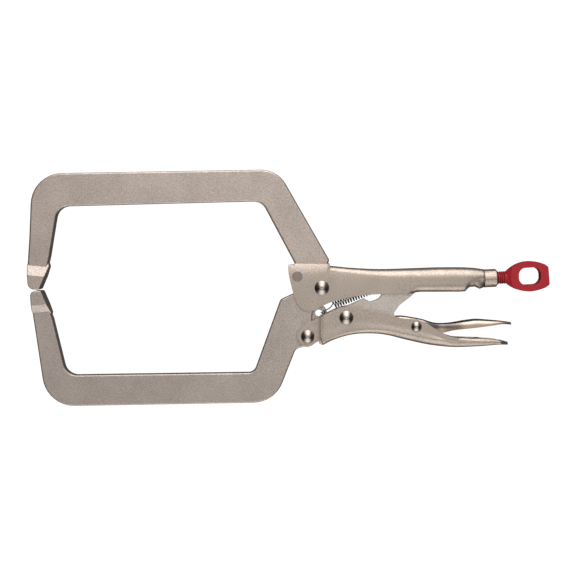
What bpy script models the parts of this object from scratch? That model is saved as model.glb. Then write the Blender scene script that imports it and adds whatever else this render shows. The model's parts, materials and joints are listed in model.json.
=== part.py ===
"""Locking C clamp with long flat arms, lying on its side on a bench.

Frame: X runs from the jaw tips to the adjusting loop, Y across the tool from the moving arm
to the fixed arm, Z up from the bench. Dimensions are in millimetres and become metres when
a mesh is made. Heights are given from the tool's middle plane, MID above the bench.
"""
import math

import bmesh
import bpy
from mathutils import Matrix, Vector

MM = 0.001

# ---------------------------------------------------------------- driving dimensions (mm)
MID = 11.0                      # middle plane above the bench: half the height over the rivets
GAP = 0.3                       # clearance between pieces that touch
ARC_STEP = math.radians(15)     # coarsest turn in an outline's arc

PIVOT_JAW = (29.3, 0.7)         # moving arm on the upper handle
PIVOT_HANDLE = (17.0, -42.0)    # lower handle on the moving arm
PIVOT_LINK = (50.8, -25.5)      # toggle link on the lower handle
PIVOT_LEVER = (112.1, -33.3)    # release lever in the lower handle
ARM_PIN = (8.0, 10.5)           # flush pin that holds the fixed arm

ARM_THICK = 10.0
ARM_EDGE = 1.5                  # rounding along the bar's edges
THROUGH = 60.0                  # a cutter this thick passes right through the tool
TIP_THICK = 16.4                # jaw tip boss
TIP_EDGE = 0.8
SUNK = 0.4                      # how far the boss's ramp sinks into the bar
FACET_ANGLE = 5.5               # the boss's ramp crosses the bar at this slant (degrees)
TIP_X = -219.0                  # middle of the tips, about which the ramp slants

SHEET_UPPER = 2.5               # upper handle's sheet
UPPER_HALF = 7.9                # its half width over the plates
SHEET_LOWER = 2.3
LOWER_HALF = 8.2                # lower handle's half width, and at the ears
EAR_HALF = 7.6
LEVER_SHEET = 2.0
LINK_THICK = 5.6
LINK_HUB_THICK = 10.8
LUG_THICK = 3.0                 # spring lug on the moving arm
HUB_R = 11.5                    # moving arm's round end at the jaw pivot

SCREW_POINT = (186.4, 9.35)     # a point on the screw's axis, at the loop's neck
SCREW_TILT = math.radians(2.86)
SCREW_R = 3.9
SCREW_TIP_BACK = 73.7           # the screw's tip, back along its axis from SCREW_POINT
SCREW_END = 4.6                 # the screw's other end, inside the loop's neck
LINK_END = (105.6, 5.3)         # link's round end, where it bears on the screw
LINK_END_R = 4.0

MAIN_SHANK_R = 4.0
SHANK_R = 3.2
PIN_R = 4.2
NUT_R = 7.95
NUT_BORE_R = 4.25
EAR_R = 9.6                     # round ends of the lower handle's ears
LOOP_THICK = 10.4
SPRING_R = 2.55                 # wire's centre line
SPRING_WIRE = 0.9
SPRING_PITCH = 2.0
SPRING_TURNS = 25
SPRING_START = (40.4, -14.6)
SPRING_RISE = math.radians(21.0)
LUG_HOLE = (26.7, -21.8)
LUG_HOLE_R = 3.0
LUG_R = 7.3
TONGUE_HOLE = (95.8, 7.0)       # in the tab inside the upper handle that holds the spring
TONGUE_HOLE_R = 1.2
TONGUE_THICK = 2.0

# colour (linear), roughness, metallic
STEEL = ((0.37, 0.32, 0.29), 0.38, 1.0)
POLISHED = ((0.55, 0.52, 0.48), 0.15, 1.0)
SPRING_STEEL = ((0.45, 0.44, 0.43), 0.25, 1.0)
RED = ((0.42, 0.033, 0.04), 0.45, 0.0)


# ---------------------------------------------------------------- scene
for old in list(bpy.data.objects):
    bpy.data.objects.remove(old, do_unlink=True)

clamp = bpy.data.collections.new("locking_c_clamp")
bpy.context.scene.collection.children.link(clamp)


def material(name, finish):
    colour, rough, metal = finish
    mat = bpy.data.materials.new(name)
    mat.use_nodes = True
    shader = mat.node_tree.nodes["Principled BSDF"]
    shader.inputs["Base Color"].default_value = (*colour, 1.0)
    shader.inputs["Roughness"].default_value = rough
    shader.inputs["Metallic"].default_value = metal
    return mat


# ---------------------------------------------------------------- outlines
def arc(centre, radius, start, end):
    """Points of an arc; angles in degrees, counter-clockwise when end > start."""
    a0, a1 = math.radians(start), math.radians(end)
    count = max(2, math.ceil(abs(a1 - a0) / ARC_STEP))
    angles = [a0 + (a1 - a0) * i / count for i in range(count + 1)]
    return [(centre[0] + radius * math.cos(a), centre[1] + radius * math.sin(a)) for a in angles]


def rounded(corners):
    """Closed outline from corners (x, y) or (x, y, radius); each radius becomes an arc."""
    points = []
    for i, corner in enumerate(corners):
        here = Vector(corner[:2])
        if len(corner) == 2:
            points.append(tuple(here))
            continue
        before = (Vector(corners[i - 1][:2]) - here).normalized()
        after = (Vector(corners[(i + 1) % len(corners)][:2]) - here).normalized()
        half = before.angle(after) / 2
        centre = here + (before + after).normalized() * corner[2] / math.sin(half)
        reach = corner[2] / math.tan(half)
        first = here + before * reach - centre
        turn = math.pi - 2 * half
        if first.x * (here + after * reach - centre).y < first.y * (here + after * reach - centre).x:
            turn = -turn
        count = max(2, math.ceil(abs(turn) / ARC_STEP))
        for k in range(count + 1):
            spin = Matrix.Rotation(turn * k / count, 2)
            points.append(tuple(centre + spin @ first))
    return points


def smooth(points, steps=3):
    """Open curve through the points (Catmull-Rom), with steps spans between neighbours."""
    pts = [Vector(p) for p in points]
    pts = [2 * pts[0] - pts[1]] + pts + [2 * pts[-1] - pts[-2]]
    out = []
    for i in range(1, len(pts) - 2):
        p0, p1, p2, p3 = pts[i - 1:i + 3]
        for k in range(steps):
            t = k / steps
            out.append(tuple(0.5 * (2 * p1 + (p2 - p0) * t + (2 * p0 - 5 * p1 + 4 * p2 - p3) * t ** 2
                                    + (3 * p1 - p0 - 3 * p2 + p3) * t ** 3)))
    out.append(tuple(pts[-2]))
    return out


# ---------------------------------------------------------------- solids
def outward(work):
    """Turn all faces of a closed mesh to point out."""
    bmesh.ops.recalc_face_normals(work, faces=work.faces)
    if work.calc_volume(signed=True) < 0:
        bmesh.ops.reverse_faces(work, faces=work.faces)


def to_object(name, mesh):
    obj = bpy.data.objects.new(name, mesh)
    clamp.objects.link(obj)
    return obj


def baked(obj):
    """Replace an object by the mesh that its modifiers or curve settings give."""
    bpy.context.view_layer.update()
    graph = bpy.context.evaluated_depsgraph_get()
    mesh = bpy.data.meshes.new_from_object(obj.evaluated_get(graph))
    name, place = obj.name, obj.matrix_world.copy()
    bpy.data.objects.remove(obj, do_unlink=True)
    work = bmesh.new()
    work.from_mesh(mesh)
    bmesh.ops.remove_doubles(work, verts=work.verts, dist=1e-7)
    outward(work)
    work.to_mesh(mesh)
    work.free()
    out = to_object(name, mesh)
    out.matrix_world = place
    return out


def plate(name, outline, thick, holes=(), height=0.0, edge=0.0):
    """Flat plate from a filled 2D curve, centred at a height from the middle plane."""
    curve = bpy.data.curves.new(name, "CURVE")
    curve.dimensions = "2D"
    curve.fill_mode = "BOTH"
    curve.extrude = thick / 2 * MM
    for loop in (outline, *holes):
        spline = curve.splines.new("POLY")
        spline.points.add(len(loop) - 1)
        for point, (x, y) in zip(spline.points, loop):
            point.co = (x * MM, y * MM, 0.0, 1.0)
        spline.use_cyclic_u = True
    obj = to_object(name, curve)
    obj.location.z = (MID + height) * MM
    obj = baked(obj)
    if edge:
        bevel = obj.modifiers.new("edge", "BEVEL")
        bevel.width = edge * MM
        bevel.segments = 2
        bevel.angle_limit = math.radians(50)
        obj = baked(obj)
    return obj


def turned(name, profile, steps=24):
    """Solid of revolution about Z from (radius, height) points, top to bottom."""
    mesh = bpy.data.meshes.new(name)
    points = [(r * MM, 0.0, z * MM) for r, z in profile]
    mesh.from_pydata(points, [(i, i + 1) for i in range(len(points) - 1)], [])
    obj = to_object(name, mesh)
    screw = obj.modifiers.new("turn", "SCREW")
    screw.steps = screw.render_steps = steps
    screw.use_merge_vertices = True
    screw.merge_threshold = 1e-6
    return baked(obj)


def place(obj, spot, height=0.0):
    obj.location = (spot[0] * MM, spot[1] * MM, (MID + height) * MM)
    return obj


def along_screw(obj, distance=0.0):
    """Lay a solid turned about Z along the screw's axis, distance from SCREW_POINT."""
    x = SCREW_POINT[0] + distance * math.cos(SCREW_TILT)
    y = SCREW_POINT[1] + distance * math.sin(SCREW_TILT)
    obj.matrix_world = (Matrix.Translation((x * MM, y * MM, MID * MM))
                        @ Matrix.Rotation(SCREW_TILT, 4, "Z") @ Matrix.Rotation(math.pi / 2, 4, "Y"))
    return obj


def rod(name, spot, radius, height=THROUGH, steps=24):
    """Upright cylinder through the tool at a pivot, used to drill bores."""
    half = height / 2
    return place(turned(name, [(0, half), (radius, half), (radius, -half), (0, -half)], steps), spot)


def box(name, low, high):
    mesh = bpy.data.meshes.new(name)
    work = bmesh.new()
    size = [h - l for l, h in zip(low, high)]
    middle = [(l + h) / 2 for l, h in zip(low, high)]
    grow = Matrix.Diagonal((*[s * MM for s in size], 1.0))
    spot = Matrix.Translation([c * MM for c in (middle[0], middle[1], middle[2] + MID)])
    bmesh.ops.create_cube(work, size=1.0, matrix=spot @ grow)
    work.to_mesh(mesh)
    work.free()
    return to_object(name, mesh)


def combine(target, tool, operation):
    """Boolean two solids together; the tool is used up."""
    step = target.modifiers.new("combine", "BOOLEAN")
    step.operation = operation
    step.object = tool
    out = baked(target)
    bpy.data.objects.remove(tool, do_unlink=True)
    return out


def drill(target, spot, radius):
    return combine(target, rod("bore", spot, radius), "DIFFERENCE")


# ---------------------------------------------------------------- folded channels
def channel_section(station, sheet, up):
    """Closed loop (y, z) of a folded C section.

    station: web height, open edge height, half width, web corner radius, rolled edge radius,
    half gap between the rolled edges. up is 1 for a web on top and -1 for a web underneath.
    """
    web, edge, half, r_web, r_edge, gap = station
    r_edge = max(r_edge, sheet)

    def side(offset, z_gap):
        """One half, from the open edge round to the web, offset inwards by the sheet."""
        w, rise = half - offset, min(offset, 0.4 * abs(web - edge))
        low, high = edge + up * rise, web - up * rise
        room = 0.45 * abs(high - low)       # a low tail has no room for the full radii
        r1, r2 = min(max(r_edge - offset, 0.05), room), min(max(r_web - offset, 0.3), room)
        lip = [(low, z_gap)]
        for k in range(4):
            a = math.radians(90) * k / 3
            lip.append((low + up * r1 * (1 - math.cos(a)), w - r1 + r1 * math.sin(a)))
        for k in range(5):
            a = math.radians(90) * k / 4
            lip.append((high - up * r2 * (1 - math.sin(a)), w - r2 + r2 * math.cos(a)))
        return lip

    slit = min(gap, half - sheet - 0.1)
    outer, inner = side(0.0, slit), side(sheet, slit)
    return (outer + [(y, -z) for y, z in reversed(outer)]
            + [(y, -z) for y, z in inner] + list(reversed(inner)))


def channel(name, stations, sheet, up, steps=2, lean=0.0, lean_about=0.0):
    """Loft of channel sections along X; stations are (x, web, edge, half, r_web, r_edge, gap)."""
    rows = smooth_rows(stations, steps)
    mesh = bpy.data.meshes.new(name)
    work = bmesh.new()
    loops = []
    for index, row in enumerate(rows):
        loop = []
        for y, z in channel_section(row[1:], sheet, up):
            shift = -lean * (y - lean_about) if index == len(rows) - 1 else 0.0
            loop.append(work.verts.new(((row[0] + shift) * MM, y * MM, (MID + z) * MM)))
        loops.append(loop)
    for one, two in zip(loops, loops[1:]):
        for i in range(len(one)):
            j = (i + 1) % len(one)
            work.faces.new((one[i], one[j], two[j], two[i]))
    work.faces.new(loops[0])
    work.faces.new(loops[-1])
    outward(work)
    work.to_mesh(mesh)
    work.free()
    return to_object(name, mesh)


def smooth_rows(stations, steps):
    """Stations with smooth ones between; a step closer than 1 mm stays a sharp step."""
    rows = []
    run = [stations[0]]
    for before, after in zip(stations, stations[1:]):
        if after[0] - before[0] < 1.0:
            rows += smooth_run(run, steps)
            run = []
        run.append(after)
    return rows + smooth_run(run, steps)


def smooth_run(run, steps):
    if len(run) < 3:
        return [tuple(row) for row in run]
    return smooth(run, steps)


def finish(obj, mat, origin=(0.0, 0.0), height=-MID):
    """Put the mesh in world place with its origin on the piece's own axis, and shade it."""
    bpy.context.view_layer.update()
    mesh = obj.data
    mesh.transform(obj.matrix_world)
    spot = Vector((origin[0] * MM, origin[1] * MM, (MID + height) * MM))
    mesh.transform(Matrix.Translation(-spot))
    obj.matrix_world = Matrix.Translation(spot)
    mesh.materials.clear()
    mesh.materials.append(mat)
    mesh.shade_smooth()
    mesh.set_sharp_from_angle(angle=math.radians(35))
    return obj


# ---------------------------------------------------------------- fixed and moving arms
def jaw_tip(outline, full, root_at, sign):
    """Thick boss at an arm's end: its outline cut by a side profile that ramps down to the bar.

    full is where the ramp leaves the boss's face, root_at where it has sunk into the bar, and
    sign says which way the arm runs from the tip.
    """
    boss = plate("tip", outline, TIP_THICK + 4)
    half, root = TIP_THICK / 2, ARM_THICK / 2 - SUNK
    far, near = root_at + sign * 12, -sign * 30
    side = plate("side", [(near, half), (full, half), (root_at, root), (far, root),
                          (far, -root), (root_at, -root), (full, -half), (near, -half)], THROUGH)
    # the profile's own x and y become the tool's Y and Z, and its thickness runs along X
    stand = Matrix(((0, 0, 1, 0), (1, 0, 0, 0), (0, 1, 0, 0), (0, 0, 0, 1)))
    turn = Matrix.Rotation(math.radians(-FACET_ANGLE * sign), 4, "Z")
    side.matrix_world = Matrix.Translation((TIP_X * MM, 0, MID * MM)) @ turn @ stand
    boss = combine(boss, side, "INTERSECT")
    bevel = boss.modifiers.new("edge", "BEVEL")
    bevel.width = TIP_EDGE * MM
    bevel.segments = 2
    bevel.angle_limit = math.radians(40)
    return baked(boss)


def fixed_arm():
    bar = rounded([
        (-227.9, 12.0), (-228.5, 20.0), (-226.6, 46.0), (-223.9, 100.4, 28), (-9.5, 104.0, 25),
        (36.0, 25.0, 3), (34.8, 21.6), (35.6, 12.8, 2), (4.2, 4.6, 3), (3.2, 15.0), (5.6, 22.0),
        (-23.4, 76.3, 12), (-201.4, 71.7, 12), (-208.9, 28.0), (-211.1, 19.0), (-213.4, 11.5)])
    arm = plate("fixed_arm", bar, ARM_THICK, edge=ARM_EDGE)
    tip = jaw_tip(rounded([
        (-228.9, 20.0), (-227.6, -0.9, 6), (-217.9, -1.0, 1.6), (-212.9, 10.4), (-209.3, 19.4),
        (-210.8, 25.0), (-227.4, 25.0)]), 11.2, 20.5, 1)
    arm = combine(arm, tip, "UNION")
    arm = drill(arm, PIVOT_JAW, HUB_R + 0.9)
    arm = drill(arm, ARM_PIN, PIN_R + GAP)
    return finish(arm, steel)


def moving_arm():
    bar = rounded(
        arc(PIVOT_JAW, HUB_R, 180, -52) + [(21.4, -20.0, 8), (20.7, -31.0, 6)]
        + arc(PIVOT_HANDLE, EAR_R - 0.6, 25, -100)
        + [(6.6, -53.2, 6), (-8.2, -90.9, 12), (-26.8, -101.0, 14), (-212.9, -104.2, 28),
           (-224.7, -20.0), (-225.2, -15.0), (-212.4, -15.0), (-209.1, -21.6), (-207.1, -26.0),
           (-195.2, -76.6, 12), (-30.3, -74.2, 7), (-6.9, -9.8, 5), (4.4, -4.7), (14.0, 0.2)])
    arm = plate("moving_arm", bar, ARM_THICK, edge=ARM_EDGE)
    tip = jaw_tip(rounded([
        (-225.0, -20.0), (-226.0, -2.1, 4.5), (-216.2, -2.0, 1.6), (-211.8, -12.4),
        (-207.8, -20.9), (-208.6, -27.0), (-222.6, -27.0)]), -14.4, -21.8, -1)
    arm = combine(arm, tip, "UNION")
    lug = plate("lug", arc(LUG_HOLE, LUG_R, -100, 60) + [(27.0, -12.0), (19.0, -14.0), (18.0, -28.0)],
                LUG_THICK)
    arm = combine(arm, lug, "UNION")
    arm = drill(arm, LUG_HOLE, LUG_HOLE_R)
    arm = drill(arm, PIVOT_JAW, MAIN_SHANK_R + GAP)
    arm = drill(arm, PIVOT_HANDLE, SHANK_R + GAP)
    return finish(arm, steel, PIVOT_JAW, 0.0)


# ---------------------------------------------------------------- folded handles
def upper_handle():
    """Sheet folded over the top, open below over the arms and rolled nearly shut as a grip."""
    body = channel("upper_handle", [
        # x, web, edge, half width, web radius, roll radius, half slit
        (-4.0, 28.0, -34.0, UPPER_HALF, 3.0, 0.0, 9.0),
        (36.0, 28.0, -34.0, UPPER_HALF, 3.0, 0.0, 9.0),
        (36.3, 19.9, -34.0, UPPER_HALF, 4.5, 0.0, 9.0),
        (56.0, 17.9, -34.0, UPPER_HALF, 4.8, 0.0, 9.0),
        (80.0, 16.9, -34.0, UPPER_HALF, 5.5, 0.0, 9.0),
        (112.0, 17.8, -34.0, UPPER_HALF + 0.5, 7.0, 0.0, 9.0),
        (112.8, 17.8, -3.0, UPPER_HALF + 0.5, 7.0, 4.8, 3.3),
        (130.0, 18.4, -3.0, UPPER_HALF + 0.9, 7.8, 5.6, 3.0),
        (150.0, 18.5, -2.8, UPPER_HALF + 0.9, 7.8, 6.0, 2.5),
        (162.0, 18.0, -2.2, UPPER_HALF + 0.7, 7.8, 6.4, 1.8),
        (171.6, 16.8, 0.7, UPPER_HALF + 0.2, 7.8, 7.2, 0.6)],
        SHEET_UPPER, 1, lean=math.tan(SCREW_TILT), lean_about=8.8)
    trim = rounded(
        [(-0.2, 20.6), (4.8, 21.2, 1), (6.0, 22.1, 1), (36.25, 21.8), (36.4, 40.0), (180.0, 40.0),
         (180.0, -6.0), (167.6, -0.6, 1.5), (164.0, 1.6, 2), (159.0, 1.2, 4), (155.1, -2.6, 3),
         (154.4, -9.0), (112.7, -9.0), (112.5, -4.6)]
        + smooth([(108.0, -4.5), (82.0, -4.8), (66.0, -5.7), (54.0, -7.7), (37.3, -11.9),
                  (26.6, -17.0)])
        + arc((18.9, -6.9), 12.8, -60, -150) + [(4.2, -3.0, 30), (0.2, 14.0)])
    body = combine(body, plate("trim", trim, THROUGH), "INTERSECT")
    inner = UPPER_HALF - SHEET_UPPER
    body = combine(body, box("slot", (-6, 0, -inner), (36.9, 34, inner)), "DIFFERENCE")
    tongue = plate("tongue", rounded([(93.2, 16.2), (93.2, 4.3, 2), (98.4, 4.3, 2), (98.4, 16.2)]),
                   TONGUE_THICK)
    body = combine(body, drill(tongue, TONGUE_HOLE, TONGUE_HOLE_R), "UNION")
    body = drill(body, PIVOT_JAW, MAIN_SHANK_R + GAP)
    body = drill(body, ARM_PIN, PIN_R + GAP)
    return finish(body, steel)


def lower_handle():
    """Sheet folded along its underside, with two ears that straddle the moving arm."""
    body = channel("lower_handle", [
        (-2.0, -62.0, 0.0, EAR_HALF, 3.0, 0.0, 9.0),
        (28.2, -62.0, 0.0, EAR_HALF, 3.0, 0.0, 9.0),
        (28.6, -50.2, 0.0, LOWER_HALF, 4.0, 0.0, 9.0),
        (40.4, -44.9, 0.0, LOWER_HALF, 4.0, 0.0, 9.0),
        (55.0, -40.7, 0.0, LOWER_HALF, 4.2, 0.0, 9.0),
        (70.0, -39.6, 0.0, LOWER_HALF, 4.8, 0.0, 9.0),
        (86.0, -40.9, -2.0, LOWER_HALF, 5.2, 0.0, 9.0),
        (105.0, -45.6, -6.0, LOWER_HALF + 0.2, 6.0, 0.0, 9.0),
        (125.0, -49.8, -15.0, LOWER_HALF + 0.3, 6.6, 0.0, 9.0),
        (145.0, -51.6, -32.0, LOWER_HALF + 0.3, 6.6, 0.0, 9.0),
        (168.0, -50.8, -36.0, LOWER_HALF, 5.4, 0.0, 9.0),
        (184.0, -49.0, -40.0, LOWER_HALF - 1.2, 4.0, 0.0, 9.0),
        (192.5, -49.1, -43.0, LOWER_HALF - 3.4, 3.0, 0.0, 9.0)],
        SHEET_LOWER, -1)
    rim = smooth([(7.6, -39.0), (15.5, -30.7), (27.0, -25.5), (39.1, -19.3), (47.0, -16.4),
                  (54.0, -15.5), (64.0, -16.5), (81.1, -20.8), (98.7, -25.8), (112.8, -27.2),
                  (121.9, -31.0), (135.0, -39.2), (145.1, -43.2), (157.0, -43.4), (167.0, -43.7),
                  (177.0, -44.2), (186.0, -45.1), (191.6, -46.2)])
    trim = rounded(rim + [(191.8, -70.0), (37.0, -70.0), (30.7, -49.3), (28.5, -45.4, 0.6),
                          (23.9, -47.2, 3)] + arc(PIVOT_HANDLE, EAR_R, -80, -190))
    body = combine(body, plate("trim", trim, THROUGH), "INTERSECT")
    inner = EAR_HALF - SHEET_LOWER
    body = combine(body, box("fork", (-6, -70, -inner), (31.4, 0, inner)), "DIFFERENCE")
    for spot in (PIVOT_HANDLE, PIVOT_LINK, PIVOT_LEVER):
        body = drill(body, spot, SHANK_R + GAP)
    return finish(body, steel, PIVOT_HANDLE, 0.0)


def toggle_link():
    outline = rounded(
        arc(PIVOT_LINK, 9.0, 250, 112) + [(66.4, -9.0, 1.5), (72.4, -12.0, 4), (79.6, -9.2, 4),
                                          (83.6, -3.4, 6), (99.2, 0.4, 6), (102.2, 8.2, 2)]
        + arc(LINK_END, LINK_END_R, 100, -30)
        + smooth([(112.2, -2.8), (107.1, -7.6), (98.3, -14.4), (93.3, -21.0)])
        + [(92.4, -30.0, 3), (84.0, -33.0, 8), (62.0, -36.4, 10)])
    link = plate("toggle_link", outline, LINK_THICK, edge=0.7)
    hub = turned("hub", [(0, LINK_HUB_THICK / 2), (7.0, LINK_HUB_THICK / 2),
                         (7.0, -LINK_HUB_THICK / 2), (0, -LINK_HUB_THICK / 2)])
    link = combine(link, place(hub, PIVOT_LINK), "UNION")
    link = drill(link, PIVOT_LINK, SHANK_R + GAP)
    return finish(link, steel, PIVOT_LINK, 0.0)


def release_lever():
    body = channel("release_lever", [
        (93.3, -24.6, -29.0, 5.2, 1.5, 0.0, 9.0),
        (99.0, -24.2, -33.0, 5.3, 2.4, 0.0, 9.0),
        (108.0, -25.4, -37.4, 5.3, 2.4, 0.0, 9.0),
        (118.0, -27.3, -38.6, 5.3, 2.4, 0.0, 9.0),
        (128.0, -30.3, -39.8, 5.3, 2.4, 0.0, 9.0),
        (137.0, -30.6, -39.0, 5.3, 2.6, 0.0, 9.0),
        (146.0, -29.7, -37.0, 6.2, 3.0, 0.0, 9.0),
        (156.0, -28.1, -35.8, 7.2, 3.4, 0.0, 9.0),
        (166.0, -27.1, -34.6, 7.5, 3.4, 0.0, 9.0),
        (178.0, -28.0, -32.4, 7.0, 2.6, 0.0, 9.0),
        (188.0, -28.8, -30.8, 5.6, 2.2, 0.0, 9.0),
        (194.4, -29.8, -31.8, 4.2, 2.2, 0.0, 9.0)],
        LEVER_SHEET, 1)
    body = drill(body, PIVOT_LEVER, SHANK_R + GAP)
    return finish(body, steel, PIVOT_LEVER, 0.0)


# ---------------------------------------------------------------- rivets, pin and nut
def rivet(name, spot, head_r, seat, crown, shank_r):
    """Two domed heads on one shank; seat is where the heads start, crown how high they rise."""
    rise = crown - seat
    ball = (head_r ** 2 + rise ** 2) / (2 * rise)
    opening = math.asin(min(1.0, head_r / ball))
    dome = [(ball * math.sin(opening * k / 4), crown - ball * (1 - math.cos(opening * k / 4)))
            for k in range(5)]
    half = dome + [(shank_r, seat)]
    profile = half + [(r, -z) for r, z in reversed(half)]
    return finish(place(turned(name, profile), spot), polished, spot, 0.0)


def arm_pin():
    """Flush pin, set a little below both faces of the handle, with a shallow dished end."""
    face = UPPER_HALF - 0.4
    half = [(0, face - 0.5), (PIN_R - 1.0, face - 0.5), (PIN_R, face)]
    profile = half + [(r, -z) for r, z in reversed(half)]
    return finish(place(turned("fixed_arm_pin", profile), ARM_PIN), steel, ARM_PIN, 0.0)


def adjusting_nut():
    """Threaded collar at the handle's end, with a plug that sits inside the grip."""
    start = -14.3
    profile = [(NUT_BORE_R, start + 11.3), (NUT_R - 1.2, start + 11.3), (NUT_R, start + 10.1),
               (NUT_R, start), (5.2, start), (5.2, start - 12.0), (NUT_BORE_R, start - 12.0)]
    profile.append(profile[0])
    return finish(along_screw(turned("adjusting_nut", profile, 28)), steel, SCREW_POINT, 0.0)


def adjusting_screw():
    """Shank from the link's end to inside the loop's neck."""
    profile = [(0, SCREW_END), (2.8, SCREW_END), (2.8, -2.8), (SCREW_R, -2.8),
               (SCREW_R, 3.0 - SCREW_TIP_BACK), (2.4, -SCREW_TIP_BACK), (0, -SCREW_TIP_BACK)]
    return finish(along_screw(turned("adjusting_screw", profile, 20)), polished, SCREW_POINT, 0.0)


def screw_loop():
    """Flat loop for the fingers, with an eye for a bar and a ribbed neck on the screw."""
    flat = plate("screw_loop", rounded(
        smooth([(3.4, 5.0), (9.0, 8.3), (15.5, 11.5), (23.0, 13.2), (31.5, 12.6), (38.8, 10.0)])
        + [(41.7, 7.6, 1.5), (42.3, -7.9, 1.5), (38.8, -10.4)]
        + smooth([(38.8, -10.4), (32.0, -12.4), (24.0, -13.2), (15.5, -11.6), (9.0, -8.5),
                  (3.4, -5.0)])[1:]),
        LOOP_THICK, holes=[rounded([(15.6, -7.3, 6.2), (34.8, -7.3, 6.2), (34.8, 7.7, 6.2),
                                    (15.6, 7.7, 6.2)])], edge=1.6)
    flat.matrix_world = (Matrix.Translation([c * MM for c in (*SCREW_POINT, MID)])
                         @ Matrix.Rotation(SCREW_TILT, 4, "Z"))
    neck = turned("neck", [(0, 9.0), (5.0, 9.0), (5.0, -2.4), (0, -2.4)])
    loop = combine(flat, along_screw(neck), "UNION")
    bore = turned("bore", [(0, SCREW_END + 0.5), (3.1, SCREW_END + 0.5), (3.1, -9.0), (0, -9.0)], 20)
    loop = combine(loop, along_screw(bore), "DIFFERENCE")
    return finish(loop, red, SCREW_POINT, 0.0)


# ---------------------------------------------------------------- return spring
def return_spring():
    """Tension coil from the moving arm's lug up to the tongue in the handle, hooked at both."""
    along = Vector((math.cos(SPRING_RISE), math.sin(SPRING_RISE), 0))
    across = Vector((-math.sin(SPRING_RISE), math.cos(SPRING_RISE), 0))
    up = Vector((0, 0, 1))
    start = Vector((*SPRING_START, 0))
    per_turn = 8
    coil = []
    for k in range(SPRING_TURNS * per_turn + 1):
        a = 2 * math.pi * k / per_turn
        radial = across * math.cos(a) + up * math.sin(a)
        coil.append(start + along * (SPRING_PITCH * k / per_turn) + radial * SPRING_R)
    hx, hy = LUG_HOLE
    front = [Vector(p) for p in ((hx + 1.4, hy + 0.5, -2.3), (hx + 1.4, hy + 0.5, 1.0),
                                 (hx + 2.1, hy + 0.8, 2.3), (hx + 7.4, hy + 3.0, 2.5),
                                 (hx + 10.4, hy + 5.6, 2.2))]
    tx, ty = TONGUE_HOLE
    back = [Vector(p) for p in ((tx - 4.6, ty + 0.4, 2.0), (tx - 1.4, ty + 0.2, 2.2),
                                (tx - 0.2, ty, 1.4), (tx, ty, 0.4), (tx, ty, -2.0))]
    points = front + coil + back
    curve = bpy.data.curves.new("return_spring", "CURVE")
    curve.dimensions = "3D"
    curve.bevel_depth = SPRING_WIRE / 2 * MM
    curve.bevel_resolution = 1
    curve.use_fill_caps = True
    spline = curve.splines.new("POLY")
    spline.points.add(len(points) - 1)
    for point, spot in zip(spline.points, points):
        point.co = (spot.x * MM, spot.y * MM, (MID + spot.z) * MM, 1.0)
    return finish(baked(to_object("return_spring", curve)), spring_steel, LUG_HOLE, 0.0)


# ---------------------------------------------------------------- the clamp
steel = material("nickel_plated_steel", STEEL)
polished = material("polished_steel", POLISHED)
spring_steel = material("spring_steel", SPRING_STEEL)
red = material("red_coated_steel", RED)

fixed_arm()
moving_arm()
upper_handle()
lower_handle()
toggle_link()
release_lever()
rivet("main_rivet", PIVOT_JAW, 6.4, UPPER_HALF + 0.2, MID, MAIN_SHANK_R)
rivet("handle_rivet", PIVOT_HANDLE, 5.95, EAR_HALF + 0.2, EAR_HALF + 3.0, SHANK_R)
rivet("link_rivet", PIVOT_LINK, 6.05, LOWER_HALF + 0.2, MID, SHANK_R)
rivet("lever_rivet", PIVOT_LEVER, 4.6, LOWER_HALF + 0.4, MID - 0.2, SHANK_R)
arm_pin()
adjusting_nut()
adjusting_screw()
screw_loop()
return_spring()
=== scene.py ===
# %% [markdown]
# # A locking C clamp for welding
# Two long flat arms meet at thick tips and are worked by folded steel handles with a toggle
# link, a release lever, a return spring and an adjusting screw with a red finger loop. The
# clamp lies on its side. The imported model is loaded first, as a fixed frame that the detailed
# pieces are built on, so every piece below takes its place from that frame.

# %% The frame
import json
import math

import bpy
from mathutils import Matrix, Vector


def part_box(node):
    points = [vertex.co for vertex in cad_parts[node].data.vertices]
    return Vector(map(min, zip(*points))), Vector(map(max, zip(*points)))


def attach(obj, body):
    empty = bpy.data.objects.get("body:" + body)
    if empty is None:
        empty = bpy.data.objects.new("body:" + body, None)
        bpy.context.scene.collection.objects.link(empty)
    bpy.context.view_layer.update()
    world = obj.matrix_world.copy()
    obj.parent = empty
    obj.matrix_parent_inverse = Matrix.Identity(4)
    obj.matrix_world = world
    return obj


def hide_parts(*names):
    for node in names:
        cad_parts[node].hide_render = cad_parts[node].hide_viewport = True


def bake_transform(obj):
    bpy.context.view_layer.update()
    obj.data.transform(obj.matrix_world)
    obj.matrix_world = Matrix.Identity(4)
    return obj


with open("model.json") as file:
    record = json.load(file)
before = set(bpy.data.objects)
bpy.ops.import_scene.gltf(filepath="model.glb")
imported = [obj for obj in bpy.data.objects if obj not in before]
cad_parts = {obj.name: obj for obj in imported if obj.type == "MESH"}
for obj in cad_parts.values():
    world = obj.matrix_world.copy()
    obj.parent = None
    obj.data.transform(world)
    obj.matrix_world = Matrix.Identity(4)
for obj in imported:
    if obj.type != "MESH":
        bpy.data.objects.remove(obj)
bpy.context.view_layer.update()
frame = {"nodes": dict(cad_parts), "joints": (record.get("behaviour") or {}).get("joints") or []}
nodes = frame["nodes"]
joints = {joint["name"]: joint for joint in frame["joints"]}
MM = 0.001
MIDDLE = joints["jaw_pivot"]["pos_m"][2]
print("CAD nodes:", ", ".join(sorted(nodes)))


# %% [markdown]
# ## Camera
# The view is from straight above the flat of the tool, leaning 3 degrees towards the fixed arm.
# It could be orthographic, but the far walls of the tall bosses and folded handles show a
# little, as they do from about a metre away, so a long lens at that distance is used.

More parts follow.
